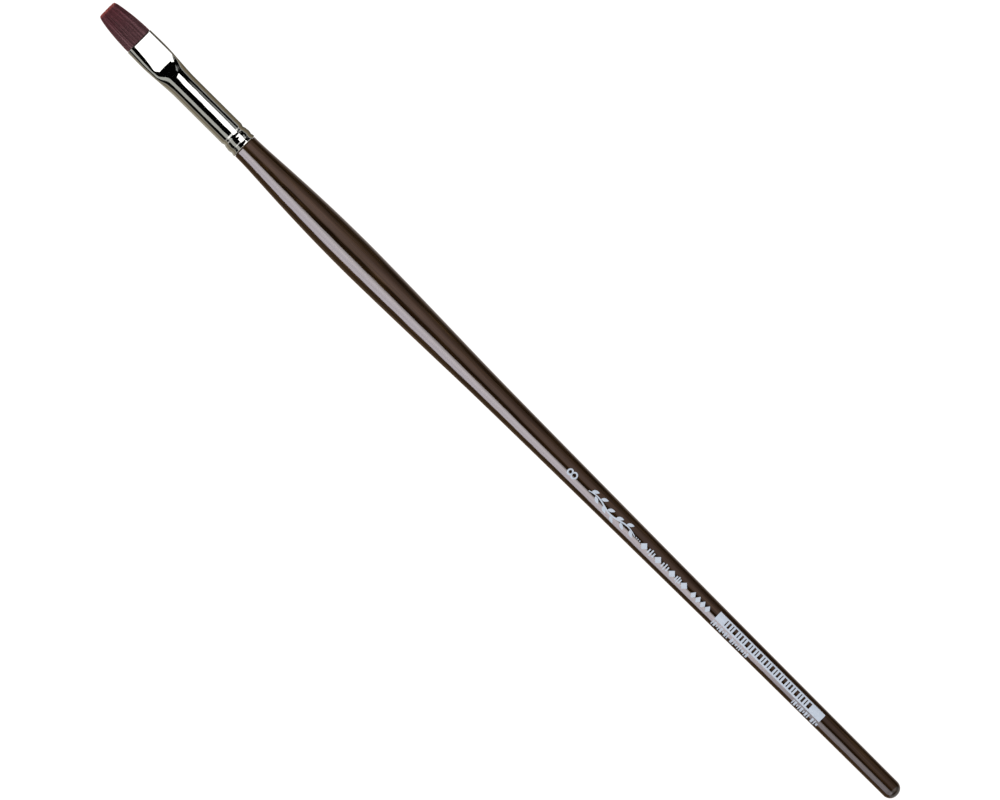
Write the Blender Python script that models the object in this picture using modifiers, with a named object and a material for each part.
"""Long-handled flat artist's brush, size 8, built piece by piece.

The brush lies along X, with the origin on its axis, half way down its whole
length. +X runs out through the hair, -X runs down the handle, +Z is square to
the flat side of the hair and Y is across its width.

From the tip back: the free hair, its held root, the thread that ties the
root, the resin it is set in, the crimped ferrule, the glue round the
handle's tenon, the turned wooden handle and the lacquer dipped over it.
"""

import math

import bmesh
import bpy

# ---------------------------------------------------------------- dimensions
# All in millimetres. Positions are along the axis from the ferrule's mouth,
# positive towards the hair; the brush_axis empty carries the mouth to its
# place in the world.

MM = 0.001
GAP = 0.3  # clearance between neighbouring pieces
FACETS = 24  # sides of a turned piece; its flats touch the true circle
PER_QUARTER = 8  # points in a quarter of a lofted section
SECTION_POINTS = 4 * PER_QUARTER
SHARP_ANGLE = 35.0  # degrees; edges that turn further are shaded sharp

# ferrule: one seamless tube, pressed flat at the mouth and crimped at the rear
FERRULE_LENGTH = 39.95
FERRULE_WALL = 0.3
MOUTH_WIDTH = 8.5
WIDEST = 8.7
WIDEST_AT = -5.5
FLAT_THICKNESS = 3.45
FLAT_ENDS_AT = -8.2
ROUND_FROM = -17.8
# Behind the flat each face swells out to the round body, most of it in a
# short steep shoulder and the rest in a long easy one.
SHOULDER_FROM, SHOULDER_TO = -9.6, -14.2
SHOULDER_SHARE = 0.8
BODY_RADIUS = 7.5 / 2
BORE_RADIUS = BODY_RADIUS - FERRULE_WALL
# The pressing leaves each face flat from one side edge, which is tight, to
# part way over, and rolls off gently to the other side. The two faces are a
# half turn apart. Each pair is a value at the mouth and where the flat ends.
PRESSED_SHAPE = {
    "tight_start": (3.40, 3.62),  # from the middle to the flat's tight end
    "easy_start": (1.85, 2.80),  # from the middle to its easy end
    "tight_rise": (0.87, 0.30),  # height the tight edge's arc is centred on
    "easy_rise": (-0.03, 0.43),  # and the easy edge's
}
EDGE_SWEEP = 84.0  # degrees that each side edge turns through
# each crimp: centre, half length, change of radius
CRIMPS = (
    (-35.95, 0.85, -0.245),
    (-37.80, 0.95, 0.105),
    (-38.85, 0.40, -0.075),
)
CRIMPED_FROM = -35.0  # closely spaced rings run from here to the rear edge
LIP_FROM = -39.05  # the rear edge turns out a little from here
LIP_TO = 0.15 - FERRULE_LENGTH
LIP_RISE = 0.12

# resin cup round the tied root
RESIN_FORE, RESIN_AFT = -18.4, -24.2
RESIN_POCKET_FLOOR = -21.6
RESIN_CHAMFER_DEPTH = 0.1  # across the radius
RESIN_CHAMFER_LENGTH = 0.2  # along the axis

# glue round the tenon
GLUE_WALL = 0.2
GLUE_RADIUS = BORE_RADIUS - GAP
GLUE_FORE, GLUE_AFT = -25.3, -34.3

# handle
TENON_FRONT = RESIN_AFT - GAP
TENON_RADIUS = GLUE_RADIUS - GLUE_WALL - GAP
TENON_CHAMFER = 0.4
HANDLE_SHOULDER = -FERRULE_LENGTH - GAP
# position, diameter over the lacquer
HANDLE_STATIONS = (
    (HANDLE_SHOULDER, 7.36),
    (-42.6, 7.40),
    (-46.7, 7.77),
    (-53.1, 8.50),
    (-62.8, 9.40),
    (-72.5, 9.97),
    (-82.2, 10.14),
    (-95.1, 9.75),
    (-111.3, 9.00),
    (-130.7, 8.00),
    (-149.0, 7.46),
    (-188.8, 6.60),
    (-227.6, 5.92),
    (-266.3, 5.48),
    (-285.2, 5.32),
)
HANDLE_END = -287.8
HANDLE_RINGS = 34
RING_CROWDING = 1.35  # above 1, rings sit closer together near the ferrule
TAIL_ROUNDING = 2.55  # length of the rounded end
TAIL_ANGLES = (20, 40, 58, 75)  # degrees round the end
LACQUER = 0.2

# held root of the hair and its thread
ROOT_BUTT = -21.2
BUTT_RADIUS = 1.9
BUTT_FROM = -17.4  # the root is round from here back
ROOT_MOUTH_RING = 0.05  # just outside the mouth
ROOT_STEP = 0.25  # length of the tapered step at the root's outer end
ROOT_STEP_SHARES = (0.985, 0.95)  # width and thickness left behind the step
ROOT_SIZED_AT = 0.5  # the outer end takes the hair's size at this position
THREAD = 0.3
THREAD_TURNS = 5
THREAD_STEPS = 20  # per turn
THREAD_PITCH = 0.42
THREAD_FROM = -18.9

# hair outside the ferrule
HAIR_OUT = 12.2
HAIR_WIDTH = 8.38
HAIR_TIP_WIDTH = 5.75
HAIR_THICKNESS = 3.2
HAIR_TIP_THICKNESS = 1.1
WIDTH_TAPER = 2  # higher powers keep the taper nearer the tip
THICKNESS_TAPER = 1.5
SIDE_FULLNESS = 0.62  # below 1, the section is squarer than an ellipse
FACE_FULLNESS = 0.72
# distance back from the tip, share of the hair's size left there
TIP_ROUNDING = ((0.0, 0.930), (0.25, 0.972), (0.6, 0.992))
FULL_HAIR_SETBACK = 1.3  # first ring of full size
BEND_AT = 2.5  # where the free hair bends
FOOT_ANGLES = (65, 48, 32, 18)  # degrees round the foot, towards its end


# ---------------------------------------------------------------- scene

for old in list(bpy.data.objects):
    bpy.data.objects.remove(old, do_unlink=True)

brush = bpy.data.collections.new("paint_brush")
bpy.context.scene.collection.children.link(brush)
axis = bpy.data.objects.new("brush_axis", None)
axis.empty_display_type = "ARROWS"
axis.empty_display_size = 0.02
# the origin is half way between the tip of the hair and the tail
axis.location = (-(HAIR_OUT + HANDLE_END) / 2 * MM, 0.0, 0.0)
brush.objects.link(axis)


# ---------------------------------------------------------------- numbers


def mix(start, end, share):
    return start + (end - start) * share


def eased(x, start, end):
    """0 at start to 1 at end, with level ends. end lies further back."""
    share = min(max((start - x) / (start - end), 0.0), 1.0)
    return share * share * (3.0 - 2.0 * share)


def span(start, end, count):
    """count + 1 evenly spaced values from start to end."""
    return [mix(start, end, i / count) for i in range(count + 1)]


def curve_through(stations, x):
    """A smooth curve through (position, value) stations, with no overshoot."""
    places, values = zip(*sorted(stations))
    gaps = len(places) - 1
    step = [places[i + 1] - places[i] for i in range(gaps)]
    rise = [(values[i + 1] - values[i]) / step[i] for i in range(gaps)]
    # inner slopes are weighted harmonic means, or level where the curve turns
    slope = [rise[0]]
    for i in range(1, gaps):
        if rise[i - 1] * rise[i] <= 0:
            slope.append(0.0)
        else:
            before = 2 * step[i] + step[i - 1]
            after = step[i] + 2 * step[i - 1]
            slope.append((before + after) / (before / rise[i - 1] + after / rise[i]))
    slope.append(rise[-1])

    x = min(max(x, places[0]), places[-1])
    i = max(j for j in range(gaps) if places[j] <= x)
    share = (x - places[i]) / step[i]
    rest = 1 - share
    return (
        values[i] * (1 + 2 * share) * rest**2
        + slope[i] * step[i] * share * rest**2
        + values[i + 1] * share**2 * (3 - 2 * share)
        - slope[i + 1] * step[i] * share**2 * rest
    )


# ---------------------------------------------------------------- making pieces


def paint(name, colour, roughness, metallic=0.0, coat=0.0):
    mat = bpy.data.materials.new(name)
    mat.use_nodes = True
    shader = mat.node_tree.nodes["Principled BSDF"]
    shader.inputs["Base Color"].default_value = (*colour, 1.0)
    shader.inputs["Roughness"].default_value = roughness
    shader.inputs["Metallic"].default_value = metallic
    shader.inputs["Coat Weight"].default_value = coat
    mat.diffuse_color = (*colour, 1.0)
    return mat


def place(obj, mat):
    """Puts a piece in the brush's collection, on the brush's axis."""
    obj.data.materials.append(mat)
    brush.objects.link(obj)
    obj.parent = axis
    if obj.type == "MESH":
        obj.data.shade_smooth()
        obj.data.set_sharp_from_angle(angle=math.radians(SHARP_ANGLE))
    return obj


def mesh_object(name, bm):
    mesh = bpy.data.meshes.new(name)
    bm.to_mesh(mesh)
    bm.free()
    return bpy.data.objects.new(name, mesh)


def turned(name, profile, mat, closed=False):
    """A lathe-turned piece. profile is (radius, x) pairs in order along the
    outline. Radii are grown so that the facets' flats touch the true circle,
    and the profile starts half a facet round so that a flat faces straight
    down."""
    half_facet = math.pi / FACETS
    bm = bmesh.new()
    verts = []
    for radius, x in profile:
        corner = radius / math.cos(half_facet) * MM
        verts.append(
            bm.verts.new((corner * math.cos(half_facet), corner * math.sin(half_facet), x * MM))
        )
    for start, end in zip(verts, verts[1:]):
        bm.edges.new((start, end))
    if closed:
        bm.edges.new((verts[-1], verts[0]))
    obj = mesh_object(name, bm)
    screw = obj.modifiers.new("Turn", "SCREW")
    screw.axis = "Z"
    screw.angle = math.tau
    screw.screw_offset = 0.0
    screw.steps = FACETS
    screw.render_steps = FACETS
    screw.use_merge_vertices = True
    screw.merge_threshold = 1e-6
    screw.use_smooth_shade = True
    # the lathe's axis, local Z, lies along the brush
    obj.rotation_euler = (0.0, math.radians(90.0), 0.0)
    return place(obj, mat)


def loft(name, rings, mat, caps=True, origin=0.0):
    """A skin over rings of unlike sections, each a list of (x, y, z) in order
    from the tip back. origin is where on the axis the object's own origin
    sits."""
    bm = bmesh.new()
    rows = [
        [bm.verts.new(((x - origin) * MM, y * MM, z * MM)) for x, y, z in points]
        for points in rings
    ]
    count = len(rows[0])
    for fore, aft in zip(rows, rows[1:]):
        for i in range(count):
            j = (i + 1) % count
            bm.faces.new((fore[i], aft[i], aft[j], fore[j]))
    if caps:
        bm.faces.new(rows[0])
        bm.faces.new(list(reversed(rows[-1])))
    obj = mesh_object(name, bm)
    obj.location = (origin * MM, 0.0, 0.0)
    return place(obj, mat)


# ---------------------------------------------------------------- sections
# A section is made from one half, a list of (y, z): from the +Y side, over
# the upper face, to the -Y side. The other half is the same, turned half way
# round.


def ring(half, x):
    """The half and its half-turned copy as one ring of points at x."""
    return [(x, y, z) for y, z in half] + [(x, -y, -z) for y, z in half]


def half_turn_angles():
    """Angles to the middles of a half section's facets."""
    return [math.tau * (i + 0.5) / SECTION_POINTS for i in range(SECTION_POINTS // 2)]


def pressed_half(half_width, half_thickness, tight_start, easy_start, tight_rise, easy_rise):
    """Half of the pressed section: an easy roll-off, the flat and a tight
    side edge."""

    def edge(start, rise):
        """Quarter of an ellipse, from the flat outwards."""
        points = []
        for i in range(PER_QUARTER):
            angle = math.radians(EDGE_SWEEP * i / (PER_QUARTER - 1))
            y = start + (half_width - start) * math.sin(angle)
            z = rise + (half_thickness - rise) * math.cos(angle)
            points.append((y, z))
        return points

    tight_edge = [(-y, z) for y, z in edge(tight_start, tight_rise)]
    return edge(easy_start, easy_rise)[::-1] + tight_edge


def round_half(radius):
    """Half of a circle. Its facets touch the circle."""
    corner = radius / math.cos(math.pi / SECTION_POINTS)
    return [(corner * math.cos(a), corner * math.sin(a)) for a in half_turn_angles()]


def hair_half(half_width, half_thickness):
    """Half of the hair's section: nearly flat faces and fully rounded edges."""
    points = []
    for angle in half_turn_angles():
        across = math.cos(angle)
        y = half_width * math.copysign(abs(across) ** SIDE_FULLNESS, across)
        z = half_thickness * math.sin(angle) ** FACE_FULLNESS
        points.append((y, z))
    return points


def blend(flat, full, across, through):
    """Mixes two halves, by separate shares for width and thickness."""
    return [
        (mix(flat_y, full_y, across), mix(flat_z, full_z, through))
        for (flat_y, flat_z), (full_y, full_z) in zip(flat, full)
    ]


# ---------------------------------------------------------------- ferrule


def crimped_radius(x):
    radius = BODY_RADIUS
    for centre, half_length, change in CRIMPS:
        offset = abs(x - centre) / half_length
        if offset < 1.0:
            radius += change * 0.5 * (1 + math.cos(math.pi * offset))
    return radius + LIP_RISE * eased(x, LIP_FROM, LIP_TO)


def swell(x):
    """How far each face has swelled out from the flat to the round body."""
    steep = eased(x, SHOULDER_FROM, SHOULDER_TO)
    easy = eased(x, SHOULDER_FROM, ROUND_FROM)
    return mix(easy, steep, SHOULDER_SHARE)


def ferrule_half(x, inset=0.0):
    """The ferrule's outer section at x, or that section moved in by inset."""
    half_width = mix(MOUTH_WIDTH, WIDEST, eased(x, 0.0, WIDEST_AT)) / 2
    back = min(max(x / FLAT_ENDS_AT, 0.0), 1.0) ** 2
    shape = {key: mix(fore, aft, back) for key, (fore, aft) in PRESSED_SHAPE.items()}
    flat = pressed_half(half_width - inset, FLAT_THICKNESS / 2 - inset, **shape)
    full = round_half(crimped_radius(x) - inset)
    return blend(flat, full, across=eased(x, WIDEST_AT, ROUND_FROM), through=swell(x))


def build_ferrule(mat):
    stations = span(0.0, FLAT_ENDS_AT, 4)
    stations += span(SHOULDER_FROM, SHOULDER_TO, 8)
    stations += [-16.0, ROUND_FROM, -25.0]
    stations += span(CRIMPED_FROM, -FERRULE_LENGTH, 18)
    obj = loft("ferrule", [ring(ferrule_half(x), x) for x in stations], mat, caps=False)
    wall = obj.modifiers.new("Wall", "SOLIDIFY")
    wall.thickness = FERRULE_WALL * MM
    wall.offset = -1.0
    wall.use_even_offset = True
    wall.use_rim = True


# ---------------------------------------------------------------- handle


def handle_profile(inset=0.0):
    """(radius, x) down the outside of the lacquered handle, moved in by inset,
    from the shoulder to the point on the axis at the tail."""
    body_end = HANDLE_END + TAIL_ROUNDING
    profile = []
    for i in range(HANDLE_RINGS + 1):
        x = mix(HANDLE_SHOULDER, body_end, (i / HANDLE_RINGS) ** RING_CROWDING)
        profile.append((curve_through(HANDLE_STATIONS, x) / 2 - inset, x))
    end_radius = profile[-1][0]
    for degrees in TAIL_ANGLES:
        angle = math.radians(degrees)
        x = body_end - (TAIL_ROUNDING - inset) * math.sin(angle)
        profile.append((end_radius * math.cos(angle), x))
    profile.append((0.0, HANDLE_END + inset))
    return profile


def build_lacquer(mat):
    turned("handle_lacquer", handle_profile(LACQUER)[::-1] + handle_profile(), mat)


def build_handle(mat):
    tenon = [
        (0.0, TENON_FRONT),
        (TENON_RADIUS - TENON_CHAMFER, TENON_FRONT),
        (TENON_RADIUS, TENON_FRONT - TENON_CHAMFER),
        (TENON_RADIUS, HANDLE_SHOULDER),
    ]
    turned("handle", tenon + handle_profile(LACQUER + GAP), mat)


# ---------------------------------------------------------------- inside


def build_glue(mat):
    """A sleeve between the tenon and the ferrule."""
    loop = [
        (GLUE_RADIUS, GLUE_FORE),
        (GLUE_RADIUS, GLUE_AFT),
        (GLUE_RADIUS - GLUE_WALL, GLUE_AFT),
        (GLUE_RADIUS - GLUE_WALL, GLUE_FORE),
    ]
    turned("tenon_glue", loop, mat, closed=True)


def build_resin(mat):
    """A cup, open towards the hair, that clears the thread round the root."""
    outer = BORE_RADIUS - GAP
    pocket = BUTT_RADIUS + GAP + THREAD + GAP
    cup = [
        (0.0, RESIN_POCKET_FLOOR),
        (pocket, RESIN_POCKET_FLOOR),
        (pocket, RESIN_FORE),
        (outer - RESIN_CHAMFER_DEPTH, RESIN_FORE),
        (outer, RESIN_FORE - RESIN_CHAMFER_LENGTH),
        (outer, RESIN_AFT),
        (0.0, RESIN_AFT),
    ]
    turned("epoxy_plug", cup, mat)


def build_thread(mat):
    """A few close turns of waxed thread round the butt of the hair."""
    radius = BUTT_RADIUS + GAP + THREAD / 2
    count = THREAD_TURNS * THREAD_STEPS + 1
    curve = bpy.data.curves.new("binding_thread", "CURVE")
    curve.dimensions = "3D"
    curve.bevel_depth = THREAD / 2 * MM
    curve.bevel_resolution = 2
    curve.use_fill_caps = True
    line = curve.splines.new("POLY")
    line.points.add(count - 1)  # a new spline already has one point
    for i in range(count):
        turns = i / THREAD_STEPS
        angle = math.tau * turns
        line.points[i].co = (
            (THREAD_FROM - THREAD_PITCH * turns) * MM,
            radius * math.cos(angle) * MM,
            radius * math.sin(angle) * MM,
            1.0,
        )
    place(bpy.data.objects.new("binding_thread", curve), mat)


# ---------------------------------------------------------------- hair


def hair_half_size(x):
    """Half width and half thickness of the free hair at x."""
    out = x / HAIR_OUT
    width = mix(HAIR_WIDTH, HAIR_TIP_WIDTH, out**WIDTH_TAPER)
    thickness = mix(HAIR_THICKNESS, HAIR_TIP_THICKNESS, out**THICKNESS_TAPER)
    return width / 2, thickness / 2


def root_half(x):
    """The held hair: fills the ferrule's mouth, and is gathered round behind."""
    return blend(
        ferrule_half(max(x, FLAT_ENDS_AT), inset=FERRULE_WALL + GAP),
        round_half(BUTT_RADIUS),
        across=eased(x, FLAT_ENDS_AT, BUTT_FROM),
        through=eased(x, SHOULDER_FROM, BUTT_FROM),
    )


def build_root(mat):
    half_width, half_thickness = hair_half_size(ROOT_SIZED_AT)
    outer_end = BEND_AT - half_thickness - GAP
    width_share, thickness_share = ROOT_STEP_SHARES
    stepped = hair_half(half_width * width_share, half_thickness * thickness_share)
    rings = [
        ring(hair_half(half_width, half_thickness), outer_end),
        ring(stepped, outer_end - ROOT_STEP),
        ring(root_half(0.0), ROOT_MOUTH_RING),
    ]
    for x in [-4.0] + span(FLAT_ENDS_AT, BUTT_FROM, 7) + [ROOT_BUTT]:
        rings.append(ring(root_half(x), x))
    loft("bristle_root", rings, mat)


def build_head(mat):
    """The free hair. Its foot is rounded about the line that it bends on."""
    rings = []
    # tip first, with the corners of the straight cut rounded off
    for setback, share in TIP_ROUNDING:
        x = HAIR_OUT - setback
        half_width, half_thickness = hair_half_size(x)
        rings.append(ring(hair_half(half_width * share, half_thickness * share), x))
    for x in span(HAIR_OUT - FULL_HAIR_SETBACK, BEND_AT, 8):
        rings.append(ring(hair_half(*hair_half_size(x)), x))
    half_width, radius = hair_half_size(BEND_AT)
    for degrees in FOOT_ANGLES:
        angle = math.radians(degrees)
        half = hair_half(half_width, radius * math.sin(angle))
        rings.append(ring(half, BEND_AT - radius * math.cos(angle)))
    loft("bristle_head", rings, mat, origin=BEND_AT)


# ---------------------------------------------------------------- assembly

build_head(paint("hair_tip", colour=(0.080, 0.030, 0.036), roughness=0.45))
build_root(paint("hair_root", colour=(0.062, 0.026, 0.030), roughness=0.55))
build_thread(paint("waxed_thread", colour=(0.62, 0.55, 0.42), roughness=0.80))
build_resin(paint("set_resin", colour=(0.55, 0.36, 0.14), roughness=0.22))
build_ferrule(paint("nickel_plate", colour=(0.78, 0.77, 0.73), roughness=0.08, metallic=1.0))
build_glue(paint("tenon_glue", colour=(0.80, 0.72, 0.52), roughness=0.35))
build_handle(paint("birch_wood", colour=(0.60, 0.42, 0.26), roughness=0.60))
build_lacquer(paint("brown_lacquer", colour=(0.045, 0.030, 0.026), roughness=0.08, coat=1.0))
